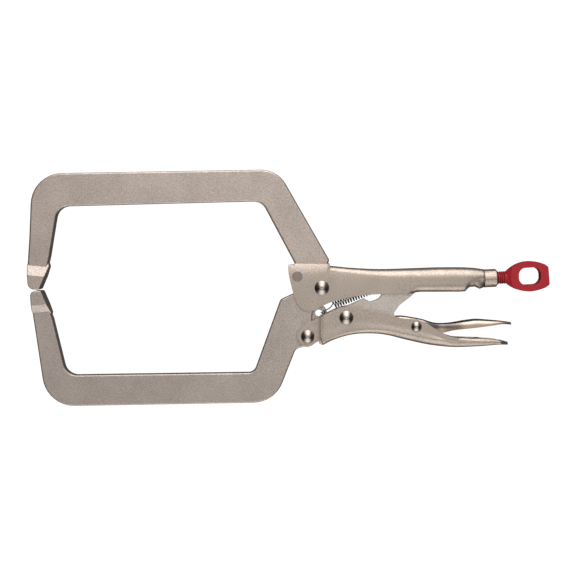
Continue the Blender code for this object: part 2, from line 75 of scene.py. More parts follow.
# %% Camera
CAMERA_DISTANCE = 1.0
CAMERA_LEAN = math.radians(3.0)
CAMERA_AIM = Vector((-0.00026, 0.00044, 0.016))
CAMERA_LENS = 71.35

bpy.ops.object.select_all(action="DESELECT")
bpy.ops.object.camera_add(
    location=CAMERA_AIM + CAMERA_DISTANCE * Vector((0, math.sin(CAMERA_LEAN), math.cos(CAMERA_LEAN))),
    rotation=(-CAMERA_LEAN, 0, 0))
camera = bpy.context.object
camera.name = "camera"
camera.data.lens = CAMERA_LENS
camera.data.clip_start = 0.01
bpy.context.scene.camera = camera
print("camera at", tuple(round(c, 3) for c in camera.location))


# %% [markdown]
# ## Colour and node helpers
# Colours are written as the hex value that they have on a screen, and Blender works in linear
# light, so one function converts them. A second function adds a shader node with its settings
# and links, which keeps each material to a few lines that can be read from top to bottom.

# %% Helpers for materials
def srgb(hex_value):
    """Linear colour, with alpha, from a screen hex value such as "b7a9a0"."""
    channels = [int(hex_value[i:i + 2], 16) / 255 for i in (0, 2, 4)]
    linear = [c / 12.92 if c <= 0.04045 else ((c + 0.055) / 1.055) ** 2.4 for c in channels]
    return (*linear, 1.0)


def node(tree, kind, links=(), **settings):
    """Add a shader node. A setting names a property, or an input by name or number (in0, in1);
    links are (input, output) pairs."""
    made = tree.nodes.new(kind)
    for key, value in settings.items():
        if key.startswith("in") and key[2:].isdigit():
            made.inputs[int(key[2:])].default_value = value
        elif hasattr(made, key):
            setattr(made, key, value)
        else:
            made.inputs[key.replace("_", " ")].default_value = value
    for socket, source in links:
        tree.links.new(source, made.inputs[socket])
    return made


def new_material(name):
    """An empty material: its node tree and its main shader."""
    made = bpy.data.materials.new(name)
    made.use_nodes = True
    return made, made.node_tree, made.node_tree.nodes["Principled BSDF"]


# %% [markdown]
# ## Floor and studio light
# The clamp lies on a plain table that is lit softly all round. Bare metal has hardly any
# colour of its own: it shows what it faces. So the room is what models the shapes here. Long
# soft lights stand on the two long sides and are dim at the two ends, which draws a light band
# along every fold and leaves the ends of the round rivets dark. The table itself is grey. It
# shines towards the lens only, so that it looks white yet leaves the steel's lower edges dark.

# %% Floor and light
FLOOR_SIZE = 12.0
bpy.ops.object.select_all(action="DESELECT")
bpy.ops.mesh.primitive_plane_add(size=FLOOR_SIZE, location=(0, 0, 0))
floor = bpy.context.object
floor.name = "floor"
floor_paint, tree, shader = new_material("white_table")
shader.inputs["Base Color"].default_value = srgb("6e6d6b")
shader.inputs["Roughness"].default_value = 0.9
shader.inputs["Specular IOR Level"].default_value = 0.1
shader.inputs["Emission Color"].default_value = srgb("ffffff")
seen = node(tree, "ShaderNodeLightPath").outputs["Is Camera Ray"]
tree.links.new(seen, shader.inputs["Emission Strength"])
floor.data.materials.append(floor_paint)

room = bpy.data.worlds.new("studio")
bpy.context.scene.world = room
room.use_nodes = True
tree = room.node_tree
direction = node(tree, "ShaderNodeTexCoord").outputs["Generated"]
axes = node(tree, "ShaderNodeSeparateXYZ", [(0, direction)])
end = node(tree, "ShaderNodeMath", [(0, axes.outputs["X"])], operation="ABSOLUTE").outputs[0]
# overhead it is dimmer towards the tips and towards the moving arm
ahead = node(tree, "ShaderNodeMapRange", [(0, axes.outputs["X"])],
             in1=-0.30, in2=0.15, in3=0.46, in4=0.77).outputs[0]
over = node(tree, "ShaderNodeMapRange", [(0, axes.outputs["Y"])],
            in1=-0.35, in2=0.30, in3=0.34, in4=1.84).outputs[0]
ceiling = node(tree, "ShaderNodeMath", [(0, ahead), (1, over)], operation="MULTIPLY").outputs[0]
# the two soft boxes, on the long sides: they start 13 to 15 degrees off the zenith, and are at
# full strength from about 40 degrees off it down to the table
box_fixed = node(tree, "ShaderNodeMapRange", [(0, axes.outputs["Y"])], interpolation_type="SMOOTHSTEP",
                 in1=0.22, in2=0.62, in3=0.0, in4=1.06).outputs[0]
box_moving = node(tree, "ShaderNodeMapRange", [(0, axes.outputs["Y"])], interpolation_type="SMOOTHSTEP",
                  in1=-0.26, in2=-0.66, in3=0.0, in4=1.15).outputs[0]
boxes = node(tree, "ShaderNodeMath", [(0, box_fixed), (1, box_moving)], operation="ADD").outputs[0]
rise = node(tree, "ShaderNodeMath", [(0, boxes), (1, ceiling)], operation="ADD").outputs[0]
# the ends of the room are dim
dim = node(tree, "ShaderNodeMapRange", [(0, end)], interpolation_type="SMOOTHSTEP",
           in1=0.12, in2=0.72, in3=1.0, in4=0.06).outputs[0]
glow = node(tree, "ShaderNodeMath", [(0, rise), (1, dim)], operation="MULTIPLY").outputs[0]
backdrop = tree.nodes["Background"]
backdrop.inputs["Color"].default_value = srgb("fffdfa")
tree.links.new(glow, backdrop.inputs["Strength"])
bpy.context.scene.view_settings.view_transform = "Standard"
print("floor", FLOOR_SIZE, "m across; soft light from both long sides")


# %% [markdown]
# ## Nickel plated, shot blasted steel
# The arms and handles are carbon steel, shot blasted and then nickel plated, which leaves a
# satin grey with a warm cast and a fine even speckle. It could be one rough metal, but then
# it looks like plastic; the speckle comes from the blasting's tiny pits, drawn in colour, in
# roughness and in relief. Blasting grit is about 0.3 mm, too fine to show from a metre away,
# so the speckle is drawn at about 0.9 mm.

# %% Steel
def blasted_steel(name, tint, dark, rough, grit_mm=0.9, relief=0.05):
    """Plated steel: a colour, its darker pits, how rough it is, and the size of its speckle."""
    made, tree, shader = new_material(name)
    here = node(tree, "ShaderNodeTexCoord").outputs["Object"]
    speckle = node(tree, "ShaderNodeTexNoise", [("Vector", here)], Scale=1.0 / (grit_mm * MM),
                   Detail=2.0, Roughness=0.6).outputs["Fac"]
    cloud = node(tree, "ShaderNodeTexNoise", [("Vector", here)], Scale=1.0 / (26 * MM),
                 Detail=3.0, Roughness=0.55).outputs["Fac"]
    faint = node(tree, "ShaderNodeMapRange", [(0, cloud)], in1=0.0, in2=1.0, in3=0.35, in4=0.65).outputs[0]
    both = node(tree, "ShaderNodeMath", [(0, speckle), (1, faint)], operation="ADD").outputs[0]
    level = node(tree, "ShaderNodeMapRange", [(0, both)], in1=0.78, in2=1.22, in3=0.0, in4=1.0).outputs[0]
    colour = node(tree, "ShaderNodeMix", [(0, level)], data_type="RGBA", in6=srgb(dark), in7=srgb(tint))
    tree.links.new(colour.outputs[2], shader.inputs["Base Color"])
    shader.inputs["Metallic"].default_value = 1.0
    spread = node(tree, "ShaderNodeMapRange", [(0, speckle)], in1=0.3, in2=0.7,
                  in3=rough + 0.06, in4=rough - 0.06).outputs[0]
    tree.links.new(spread, shader.inputs["Roughness"])
    pits = node(tree, "ShaderNodeBump", [("Height", speckle)], Strength=0.35, Distance=relief * MM)
    tree.links.new(pits.outputs[0], shader.inputs["Normal"])
    return made


bar_steel = blasted_steel("nickel_plated_forged_bar", "e7d9d0", "b2a69f", 0.43)
# A shade darker than the fixed arm's. Both arms are plated alike; this stands in for light that
# falls off towards the moving arm's side.
moving_bar_steel = blasted_steel("nickel_plated_moving_bar", "e0d3cb", "ada39c", 0.43)
sheet_steel = blasted_steel("nickel_plated_folded_sheet", "dbccc1", "aea298", 0.40, relief=0.03)
link_steel = blasted_steel("nickel_plated_stamped_link", "efe6df", "c6bcb4", 0.40, relief=0.03)
rivet_steel = blasted_steel("polished_rivet_steel", "cdc3b9", "bbb2a9", 0.15, relief=0.0)
wire_steel = blasted_steel("bright_spring_wire", "a5a29f", "8a8784", 0.28, relief=0.0)


def dress(piece, finish):
    """Give a piece, or a CAD node, one finish all over."""
    if not piece.material_slots:
        piece.data.materials.append(finish)
    for place in piece.material_slots:
        place.material = finish


dress(nodes["adjusting_nut"], sheet_steel)
dress(nodes["toggle_link"], link_steel)
print("steel finishes made")


# %% [markdown]
# ## Outlines and the plate tool
# Much of a clamp is cut from plate, so its pieces start from an outline. The points are only
# the corners, and a corner may carry a radius. A plate could be a curve with some extrusion,
# but a mesh can be bevelled: a filled circle is added with as many corners as the outline has,
# its corners are set on the outline, the face is extruded up, and the rims are bevelled.

# %% Outline helpers
# edges that turn by less than this many degrees are shaded round on the folded pieces
FOLDED_ANGLE = 35.0


def arc(centre, radius, start, end, step=6):
    """Points along an arc; angles in degrees."""
    count = max(2, math.ceil(abs(end - start) / step))
    turns = [math.radians(start + (end - start) * i / count) for i in range(count + 1)]
    return [(centre[0] + radius * math.cos(a), centre[1] + radius * math.sin(a)) for a in turns]


def rounded(corners, step=9):
    """Closed outline from corners (x, y) or (x, y, radius)."""
    points = []
    for i, corner in enumerate(corners):
        here = Vector(corner[:2])
        if len(corner) == 2:
            points.append(tuple(here))
            continue
        before = (Vector(corners[i - 1][:2]) - here).normalized()
        after = (Vector(corners[(i + 1) % len(corners)][:2]) - here).normalized()
        half = before.angle(after) / 2
        centre = here + (before + after).normalized() * corner[2] / math.sin(half)
        first = here + before * corner[2] / math.tan(half) - centre
        last = here + after * corner[2] / math.tan(half) - centre
        turn = math.copysign(math.pi - 2 * half, first.x * last.y - first.y * last.x)
        count = max(2, math.ceil(math.degrees(abs(turn)) / step))
        points += [tuple(centre + Matrix.Rotation(turn * k / count, 2) @ first)
                   for k in range(count + 1)]
    return points


def smooth(points, steps=5):
    """Open smooth curve through points of any length (Catmull-Rom)."""
    pts = [Vector(p) for p in points]
    pts = [2 * pts[0] - pts[1]] + pts + [2 * pts[-1] - pts[-2]]
    out = []
    for p0, p1, p2, p3 in zip(pts, pts[1:], pts[2:], pts[3:]):
        for t in (k / steps for k in range(steps)):
            out.append(tuple(0.5 * (2 * p1 + (p2 - p0) * t + (2 * p0 - 5 * p1 + 4 * p2 - p3) * t ** 2
                                    + (3 * p1 - p0 - 3 * p2 + p3) * t ** 3)))
    return out + [tuple(pts[-2])]


def begin(name):
    """Name the mesh just added, alone selected, ready for edit mode."""
    piece = bpy.context.object
    piece.name = piece.data.name = name
    return piece


def edit(kind="EDGE"):
    bpy.ops.object.mode_set(mode="EDIT")
    bpy.ops.mesh.select_mode(type=kind)


def pick(piece, wanted, kind="edges"):
    """In edit mode, select only the edges or faces that wanted() accepts."""
    bpy.ops.mesh.select_all(action="DESELECT")
    bpy.ops.object.mode_set(mode="OBJECT")
    for part in getattr(piece.data, kind):
        part.select = bool(wanted(part))
    bpy.ops.object.mode_set(mode="EDIT")


def plate(name, outline, low, high, edge=0.0, segments=3):
    """Plate with this outline from low to high (mm above the bench), its rims rounded."""
    bpy.ops.object.select_all(action="DESELECT")
    bpy.ops.mesh.primitive_circle_add(vertices=len(outline), radius=1, fill_type="NGON")
    piece = begin(name)
    for corner, (x, y) in zip(piece.data.vertices, outline):
        corner.co = (x * MM, y * MM, low * MM)
    edit("FACE")
    bpy.ops.mesh.select_all(action="SELECT")
    bpy.ops.mesh.extrude_region_move(TRANSFORM_OT_translate={"value": (0, 0, (high - low) * MM)})
    bpy.ops.mesh.select_all(action="SELECT")
    bpy.ops.mesh.normals_make_consistent(inside=False)
    if edge:
        corners = piece.data.vertices
        bpy.ops.mesh.select_mode(type="EDGE")
        pick(piece, lambda e: abs(corners[e.vertices[0]].co.z - corners[e.vertices[1]].co.z) < 1e-6)
        bpy.ops.mesh.bevel(offset=edge * MM, segments=segments, profile=0.5, clamp_overlap=True)
    bpy.ops.object.mode_set(mode="OBJECT")
    return piece


def apply_modifier(piece, kind, **settings):
    bpy.ops.object.select_all(action="DESELECT")
    piece.select_set(True)
    bpy.context.view_layer.objects.active = piece
    step = piece.modifiers.new(kind.lower(), kind)
    for key, value in settings.items():
        setattr(step, key, value)
    bpy.ops.object.modifier_apply(modifier=step.name)


def combine(piece, tool, operation):
    """Join, cut or cross two solids; the tool is used up."""
    apply_modifier(piece, "BOOLEAN", object=tool, operation=operation)
    bpy.data.objects.remove(tool)
    return piece


def cylinder(name, spot, radius, low, high, count=48):
    bpy.ops.object.select_all(action="DESELECT")
    bpy.ops.mesh.primitive_cylinder_add(
        vertices=count, radius=radius * MM, depth=(high - low) * MM,
        location=(spot[0] * MM, spot[1] * MM, (low + high) / 2 * MM))
    piece = begin(name)
    bpy.ops.object.transform_apply(location=True, rotation=True, scale=True)
    return piece


def done(piece, body, *replaced, finish, angle=FOLDED_ANGLE, slot="plated_steel"):
    """Shade, finish and hand a piece to its body."""
    bpy.ops.object.select_all(action="DESELECT")
    piece.select_set(True)
    bpy.context.view_layer.objects.active = piece
    bpy.ops.object.transform_apply(location=True, rotation=True, scale=True)
    bpy.ops.object.shade_smooth_by_angle(angle=math.radians(angle))
    if angle < FOLDED_ANGLE:
        # flat faces stay flat and only their rounded rims are shaded round
        apply_modifier(piece, "WEIGHTED_NORMAL", mode="FACE_AREA", weight=90, keep_sharp=True)
    dress(piece, finish)
    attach(piece, body)
    if replaced:
        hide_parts(*replaced)
    print(piece.name, len(piece.data.polygons), "faces")
    return piece


# %% [markdown]
# ## Arms
# Each arm is a forged bar 10 mm thick with rounded edges, and it swells to a boss 16 mm thick
# at the tip, with a ramp on both sides. The bar is a plate with its rims bevelled. The boss is
# a thicker plate that is bisected along its two ramps and joined to the bar by a union, so the
# ramp meets the bar in a sharp, slightly slanting line as it does on the real forging.

# %% Arms
MID = MIDDLE / MM
PIVOT_JAW = tuple(v / MM for v in joints["jaw_pivot"]["pos_m"][:2])
PIVOT_HANDLE = tuple(v / MM for v in joints["handle_pivot"]["pos_m"][:2])
PIVOT_LINK = tuple(v / MM for v in joints["link_pivot"]["pos_m"][:2])
PIVOT_LEVER = tuple(v / MM for v in joints["lever_pivot"]["pos_m"][:2])
BAR_HALF = 5.0
BAR_ROUND = 1.7
TIP_HALF = 8.2
TIP_MIDDLE_X = -219.0
RAMP_SLANT = math.radians(5.5)


def jaw_tip(name, outline, full, root, sign):
    """Boss at the tip; its ramps run from full (mm in Y), at its face, to root, at the bar's."""
    boss = plate(name, outline, MID - TIP_HALF, MID + TIP_HALF)
    drop = TIP_HALF - BAR_HALF + 0.4
    for face in (1, -1):
        slope = Vector((0, sign * drop, face * abs(root - full))).normalized()
        slope.rotate(Matrix.Rotation(-RAMP_SLANT * sign, 3, "Z"))
        edit("FACE")
        bpy.ops.mesh.select_all(action="SELECT")
        bpy.ops.mesh.bisect(plane_co=(TIP_MIDDLE_X * MM, full * MM, (MID + face * TIP_HALF) * MM),
                            plane_no=slope, use_fill=True, clear_outer=True)
        bpy.ops.object.mode_set(mode="OBJECT")
    apply_modifier(boss, "BEVEL", width=0.9 * MM, segments=6, angle_limit=math.radians(32))
    return boss


bar = plate("fixed_arm_bar", rounded([
    (-227.9, 12.0), (-228.5, 20.0), (-226.6, 46.0), (-223.9, 100.4, 28), (-9.5, 104.0, 25),
    (36.0, 25.0, 3), (34.8, 21.6), (35.6, 12.8, 2), (4.2, 4.6, 3), (3.2, 15.0), (5.6, 22.0),
    (-23.4, 76.3, 12), (-201.4, 71.7, 12), (-208.9, 28.0), (-211.1, 19.0), (-213.4, 11.5)]),
    MID - BAR_HALF, MID + BAR_HALF, BAR_ROUND, 6)
bar = combine(bar, jaw_tip("tip", rounded([
    (-228.9, 20.0), (-227.6, -0.9, 6), (-217.9, -1.0, 1.6), (-212.9, 10.4), (-209.3, 19.4),
    (-210.8, 25.0), (-227.4, 25.0)]), 11.2, 20.5, 1), "UNION")
bar = combine(bar, cylinder("hub_room", PIVOT_JAW, 12.4, -20, 40), "DIFFERENCE")
done(bar, "frame", "fixed_arm", finish=bar_steel, angle=18.0)

bar = plate("moving_arm_bar", rounded(
    arc(PIVOT_JAW, 11.5, 180, -52) + [(21.4, -20.0, 8), (20.7, -31.0, 6)]
    + arc(PIVOT_HANDLE, 9.0, 25, -100)
    + [(6.6, -53.2, 6), (-12.0, -100.6, 28), (-212.9, -104.2, 28),
       (-224.7, -20.0), (-225.2, -15.0), (-212.4, -15.0), (-209.1, -21.6), (-207.1, -26.0),
       (-195.2, -76.6, 12), (-30.3, -74.2, 7), (-6.9, -9.8, 5), (4.4, -4.7), (14.0, 0.2)]),
    MID - BAR_HALF, MID + BAR_HALF, BAR_ROUND, 6)
bar = combine(bar, jaw_tip("tip", rounded([
    (-225.0, -20.0), (-226.0, -2.1, 4.5), (-216.2, -2.0, 1.6), (-211.8, -12.4),
    (-207.8, -20.9), (-208.6, -27.0), (-222.6, -27.0)]), -14.4, -21.8, -1), "UNION")
LUG_HOLE = (26.7, -21.8)
lug = plate("lug", rounded(arc(LUG_HOLE, 7.3, -100, 60) + [(24.0, -12.0), (16.0, -14.0), (14.0, -28.0)]),
            MID - 1.5, MID + 1.5, 0.3, 1)
lug = combine(lug, cylinder("lug_hole", LUG_HOLE, 3.0, -20, 40), "DIFFERENCE")
bar = combine(bar, lug, "UNION")
done(bar, "lower_jaw", "moving_arm", finish=moving_bar_steel, angle=18.0)


# %% [markdown]
# ## Folded sheet
# Both handles and the release lever are pressed from one sheet each. The sheet could be cut
# from a solid block, but the soft folds are the look of such a tool. So a flat grid is added,
# and its points are set on the section that the press gives at each place along the tool: up
# one wall, round the fold, across and down the other wall. Then a modifier gives the sheet its
# thickness and another takes the sharpness off its rims.

# %% Folded sheet
ROLL_STEPS = 6
WALL_STEPS = 4
FOLD_STEPS = 8
SHARP_FOLD = 0.35


def at(points, x):
    """Height of an outline, given as points of rising x, at x."""
    for (x0, y0), (x1, y1) in zip(points, points[1:]):
        if x <= x1:
            return y0 + (y1 - y0) * max(0.0, x - x0) / max(1e-9, x1 - x0)
    return points[-1][1]


def half_section(fold, rim, half, fold_r, roll_r, roll, lip):
    """Points (y, z) from the rim to the middle of the fold. roll says how far the rim is
    rolled in, from 0, a straight wall, to 1; lip is the rolled rim's distance from the middle."""
    up = 1 if fold > rim else -1
    straight = min(3.0, abs(fold - rim) / 4)
    points = [(rim, half + (lip - half) * roll)]
    for k in range(1, ROLL_STEPS + 1):
        a = math.radians(90) * (k - 1) / (ROLL_STEPS - 1)
        y = roll_r * (1 - math.cos(a)) * roll + straight * k / ROLL_STEPS * (1 - roll)
        points.append((rim + up * y, half - roll_r * (1 - math.sin(a)) * roll))
    start, stop = points[-1][0], fold - up * fold_r
    points += [(start + (stop - start) * k / WALL_STEPS, half) for k in range(1, WALL_STEPS)]
    for k in range(FOLD_STEPS + 1):
        a = math.radians(90) * k / FOLD_STEPS
        points.append((fold - up * fold_r * (1 - math.sin(a)), half - fold_r * (1 - math.cos(a))))
    return points + [(fold, 0.0)]


def folded_sheet(name, rows, bare_until=None, press=(), slant=0.0, slant_from=0.0, bead=0.0):
    """Sheet through rows (x, fold, rim, half, fold_r, roll_r, roll, lip). Up to bare_until the
    fold is cut away. press is a list of dents (x, y, size_x, size_y, depth). bead is how far
    the walls are set in from the fold."""
    halves = [half_section(*row[1:]) for row in rows]
    loops = [h + [(y, -z) for y, z in reversed(h[:-1])] for h in halves]
    across = len(loops[0])
    bpy.ops.object.select_all(action="DESELECT")
    bpy.ops.mesh.primitive_grid_add(x_subdivisions=len(rows) - 1, y_subdivisions=across - 1, size=1)
    piece = begin(name)
    open_fold = set()
    for corner in piece.data.vertices:
        i = round((corner.co.x + 0.5) * (len(rows) - 1))
        j = round((corner.co.y + 0.5) * (across - 1))
        in_fold = abs(j - across // 2) <= FOLD_STEPS + 1
        if bare_until is not None and rows[i][0] <= bare_until and in_fold:
            open_fold.add(corner.index)
        (y, z), x = loops[i][j], rows[i][0]
        if i == len(rows) - 1:
            x -= slant * (y - slant_from)
        dent = sum(depth * math.exp(-((x - px) / sx) ** 2 - ((y - py) / sy) ** 2)
                   for px, py, sx, sy, depth in press)
        if bead and abs(y - rows[i][1]) > rows[i][4] + 0.4 and rows[i][0] > bare_until:
            dent += bead
        corner.co = (x * MM, y * MM, (MID + z - math.copysign(min(dent, abs(z)), z)) * MM)
    if open_fold:
        edit("FACE")
        pick(piece, lambda f: open_fold.issuperset(f.vertices), "polygons")
        bpy.ops.mesh.delete(type="FACE")
        bpy.ops.object.mode_set(mode="OBJECT")
    edit("FACE")
    bpy.ops.mesh.select_all(action="SELECT")
    bpy.ops.mesh.normals_make_consistent(inside=False)
    bpy.ops.object.mode_set(mode="OBJECT")
    return piece


def thicken(piece, sheet, rim_round):
    """Give a sheet its thickness, inwards, and round its rims."""
    # a wall's normals must face out first
    wall = max(piece.data.polygons, key=lambda f: abs(f.normal.z) * f.area)
    if wall.normal.z * (wall.center.z - MIDDLE) < 0:
        edit("FACE")
        bpy.ops.mesh.select_all(action="SELECT")
        bpy.ops.mesh.flip_normals()
        bpy.ops.object.mode_set(mode="OBJECT")
    apply_modifier(piece, "SOLIDIFY", thickness=sheet * MM, offset=-1.0, use_even_offset=True)
    apply_modifier(piece, "BEVEL", width=rim_round * MM, segments=2, angle_limit=math.radians(60))
    return piece


# %% [markdown]
# ## Upper handle
# The handle is open along the bottom where it holds the arms, and is rolled nearly shut from
# the screw's end to the linkage, which makes the grip. Its front has no fold, so that the fixed
# arm can stand out between its walls. The nut's end is pinched, and a dent marks the place
# where the roll begins.

# %% Upper handle
UPPER_SHEET = 2.5
UPPER_RIM = 0.6
UPPER_ROLL = 5.6
PIN_R = 4.5
PIN_HALF = 8.1
FOLD_STARTS = 36.25
GRIP_SLANT = math.tan(math.radians(2.86))
pin_steel = blasted_steel("dull_pin_steel", "b6a99f", "8f847c", 0.5, relief=0.05)
ARM_PIN = tuple((a + b) / 2 / MM for a, b in list(zip(*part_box("fixed_arm_pin")))[:2])
top_line = ([(-0.3, 20.6), (4.6, 21.2), (6.0, 22.1), (36.2, 21.8), (36.4, 19.9)]
            + smooth([(37.0, 19.7), (46.0, 18.8), (56.0, 17.9), (80.0, 16.9), (112.0, 17.8),
                      (130.0, 18.4), (150.0, 18.5), (162.0, 18.0), (171.6, 16.8)]))
nose = arc((18.9, -6.9), 12.8, -158, -62, 8)
rim_line = (smooth([(-0.3, 20.2), (0.1, 14.0), (1.5, 7.0), (4.2, -3.5), nose[0]])[:-1] + nose
            + smooth([(25.6, -17.6), (30.0, -15.2), (37.3, -11.9), (54.0, -7.7), (66.0, -5.7),
                      (82.0, -4.8), (104.0, -4.5)])
            + [(108.0, -4.3), (112.0, -3.5), (116.0, -3.0), (150.0, -2.9), (155.2, -2.6), (157.0, -0.4),
               (159.4, 1.2), (164.0, 1.5), (166.2, 0.4), (168.5, -0.6), (171.6, 0.7)])
rows = []
for x in sorted({round(p[0], 2) for p in top_line + rim_line} | {118.0 + 4 * k for k in range(9)}):
    roll = min(1.0, max(0.0, (x - 106.0) / 8.0))
    roll = roll * roll * (3 - 2 * roll)
    half = 7.9 + 1.0 * max(0.0, min(1.0, (x - 90.0) / 30.0)) - 0.7 * max(0.0, (x - 156.0) / 15.6)
    fold_r = (SHARP_FOLD if x <= FOLD_STARTS
              else min(half - 0.8, 4.4 + 4.0 * min(1.0, max(0.0, (x - 50.0) / 60.0))))
    lip = 2.4 - 1.2 * max(0.0, (x - 150.0) / 21.6)
    rows.append((x, at(top_line, x), at(rim_line, x), half, fold_r, UPPER_ROLL, roll, lip))
# dents (x, y, size_x, size_y, depth): the front's walls lean in at the top, the nut's end is
# pinched, and the roll begins with a small dent
FRONT_LEAN = (15.0, 25.5, 60.0, 8.0, 1.4)
NUT_PINCH = (173.0, 2.0, 8.0, 5.2, 4.8)
ROLL_DENT = (111.2, -3.2, 2.6, 2.0, 1.4)
handle = folded_sheet("upper_handle_sheet", rows, bare_until=FOLD_STARTS,
                      press=(FRONT_LEAN, NUT_PINCH, ROLL_DENT), slant=GRIP_SLANT, slant_from=8.8)
thicken(handle, UPPER_SHEET, UPPER_RIM)
done(handle, "frame", "upper_handle", finish=sheet_steel)

# The pin that holds the fixed arm: a duller disc, faintly dished, that stands just out of the
# walls at both ends. No hole is cut for it.
pin = cylinder("fixed_arm_pin_dished", ARM_PIN, PIN_R, MID - PIN_HALF, MID + PIN_HALF)
edit("FACE")
pick(pin, lambda f: abs(f.normal.z) > 0.9, "polygons")
bpy.ops.mesh.inset(thickness=0.5 * MM, depth=0.0)
bpy.ops.mesh.inset(thickness=0.15 * MM, depth=-0.12 * MM)
bpy.ops.object.mode_set(mode="OBJECT")
done(pin, "frame", "fixed_arm_pin", finish=pin_steel, angle=20.0)


# %% [markdown]
# ## Lower handle
# The lower handle is folded along its underside, and its walls are set in by about half a
# millimetre from the fold. Its two ears have no fold, straddle the moving arm and are stepped
# in a little. Towards the tail its rims roll in, and it tapers to a blunt end.

# %% Lower handle
LOWER_SHEET = 2.3
LOWER_RIM = 0.85
LOWER_BEAD = 0.55
LOWER_FOLD_STARTS = 30.25
ear = [(17.0 - 9.6 * math.cos(a), -42.0 - 9.6 * math.sin(a)) for a in
       (math.radians(k) for k in (1, 8, 18, 30, 44, 60, 76, 90))]
fold_line = (ear + [(20.5, -50.4), (23.9, -47.9), (28.2, -45.7), (29.6, -48.6), (30.4, -49.6)]
             + smooth([(31.0, -49.6), (40.4, -44.9), (55.0, -40.7), (70.0, -39.6), (86.0, -40.9),
                       (105.0, -45.6), (125.0, -49.8), (145.0, -51.6), (168.0, -50.8), (184.0, -49.4),
                       (193.2, -49.8)]))
rim_line = ([(7.4, -41.4)] + smooth([(7.6, -38.8), (9.6, -36.0), (15.5, -30.7), (27.0, -25.5),
                                     (39.1, -19.3), (47.0, -16.4), (54.0, -15.5), (64.0, -16.5),
                                     (81.1, -20.8), (98.7, -25.8), (112.8, -27.2),
                                     (121.9, -31.0), (135.0, -39.2), (145.1, -42.8),
                                     (157.0, -43.3), (167.0, -43.6), (177.0, -44.2), (186.0, -45.5),
                                     (193.2, -47.2)]))
rows = []
for x in sorted({round(p[0], 2) for p in fold_line + rim_line} | {28.3, 30.2}):
    step_in = 0.6 * (1.0 - min(1.0, max(0.0, (x - 26.6) / 2.0)))
    tail = max(0.0, (x - 166.0) / 26.0)
    half = (8.2 - step_in + 0.3 * min(1.0, max(0.0, (x - 90.0) / 30.0)) - 1.9 * tail * tail
            - 2.9 * max(0.0, (x - 186.5) / 5.5))
    fold_r = (SHARP_FOLD if x <= LOWER_FOLD_STARTS
              else 4.0 + 2.6 * min(1.0, max(0.0, (x - 56.0) / 55.0)) - 3.2 * tail)
    room = abs(at(fold_line, x) - at(rim_line, x))
    curl = min(1.0, max(0.0, (x - 148.0) / 10.0))
    rows.append((x, at(fold_line, x), at(rim_line, x), half, min(fold_r, 0.55 * room),
                 min(2.6, 0.35 * room), 0.85 * curl, half - 2.6))
handle = folded_sheet("lower_handle_sheet", rows, bare_until=LOWER_FOLD_STARTS, bead=LOWER_BEAD)
thicken(handle, LOWER_SHEET, LOWER_RIM)
done(handle, "lower_handle", "lower_handle", finish=sheet_steel)


# %% [markdown]
# ## Release lever
# The lever is a small pressed channel whose waist is squeezed in, so that a finger finds it,
# and whose tail is spread and then tapers to its end.

# %% Release lever
LEVER_SHEET = 1.6
LEVER_RIM = 0.35
fold_line = smooth([(93.3, -24.6), (99.0, -24.2), (108.0, -25.4), (118.0, -27.3), (128.0, -30.3),
                    (137.0, -30.6), (146.0, -29.7), (156.0, -28.1), (166.0, -27.1), (178.0, -28.0),
                    (188.0, -28.9), (195.9, -29.9)])
rim_line = smooth([(93.3, -29.0), (99.0, -33.0), (108.0, -37.4), (118.0, -38.6), (128.0, -39.8),
                   (137.0, -38.8), (146.0, -36.6), (156.0, -35.3), (166.0, -34.2), (178.0, -32.6),
                   (188.0, -31.3), (195.9, -31.9)])
wide_line = smooth([(93.3, 5.2), (118.0, 5.3), (126.0, 4.6), (135.0, 3.4), (144.0, 4.9),
                    (154.0, 7.3), (164.0, 7.5), (178.0, 7.0), (186.5, 6.0), (190.0, 5.2),
                    (195.9, 3.6)])

# The same plate, with two painted reflections drawn in the colour, by position: a warm one
# along the lower edge and a dark, bluish one over the squeezed waist.
lever_painted_reflection_steel = blasted_steel("nickel_plated_lever_steel", "dbcdc2", "b4a89e", 0.24, relief=0.02)
tree = lever_painted_reflection_steel.node_tree
shader = tree.nodes["Principled BSDF"]
plain = shader.inputs["Base Color"].links[0].from_socket
here = node(tree, "ShaderNodeSeparateXYZ", [(0, node(tree, "ShaderNodeTexCoord").outputs["Object"])])
# the lower edge climbs about 1 mm in 8, and the painted warm reflection follows it
climb = node(tree, "ShaderNodeMath", [(0, here.outputs["X"]), (2, here.outputs["Y"])],
             operation="MULTIPLY_ADD", in1=-0.12).outputs[0]
low = node(tree, "ShaderNodeMapRange", [(0, climb)], interpolation_type="SMOOTHSTEP",
           in1=-50.5 * MM, in2=-54.5 * MM, in3=0.0, in4=0.8).outputs[0]
# the painted dark reflection: the squeezed waist, from its start to its end, above its lower edge
begins = node(tree, "ShaderNodeMapRange", [(0, here.outputs["X"])], interpolation_type="SMOOTHSTEP",
              in1=116.0 * MM, in2=125.0 * MM, in3=0.0, in4=1.0).outputs[0]
ends = node(tree, "ShaderNodeMapRange", [(0, here.outputs["X"])], interpolation_type="SMOOTHSTEP",
            in1=139.0 * MM, in2=152.0 * MM, in3=1.0, in4=0.0).outputs[0]
above = node(tree, "ShaderNodeMapRange", [(0, here.outputs["Y"])], interpolation_type="SMOOTHSTEP",
             in1=-36.2 * MM, in2=-34.0 * MM, in3=0.0, in4=0.8).outputs[0]
span = node(tree, "ShaderNodeMath", [(0, begins), (1, ends)], operation="MULTIPLY").outputs[0]
waist = node(tree, "ShaderNodeMath", [(0, span), (1, above)], operation="MULTIPLY").outputs[0]
# painted reflections: dark and bluish over the waist, then warm along the lower edge
waist_painted_reflection = node(tree, "ShaderNodeMix", [(0, waist), (6, plain)], data_type="RGBA",
             in7=srgb("66646c")).outputs[2]
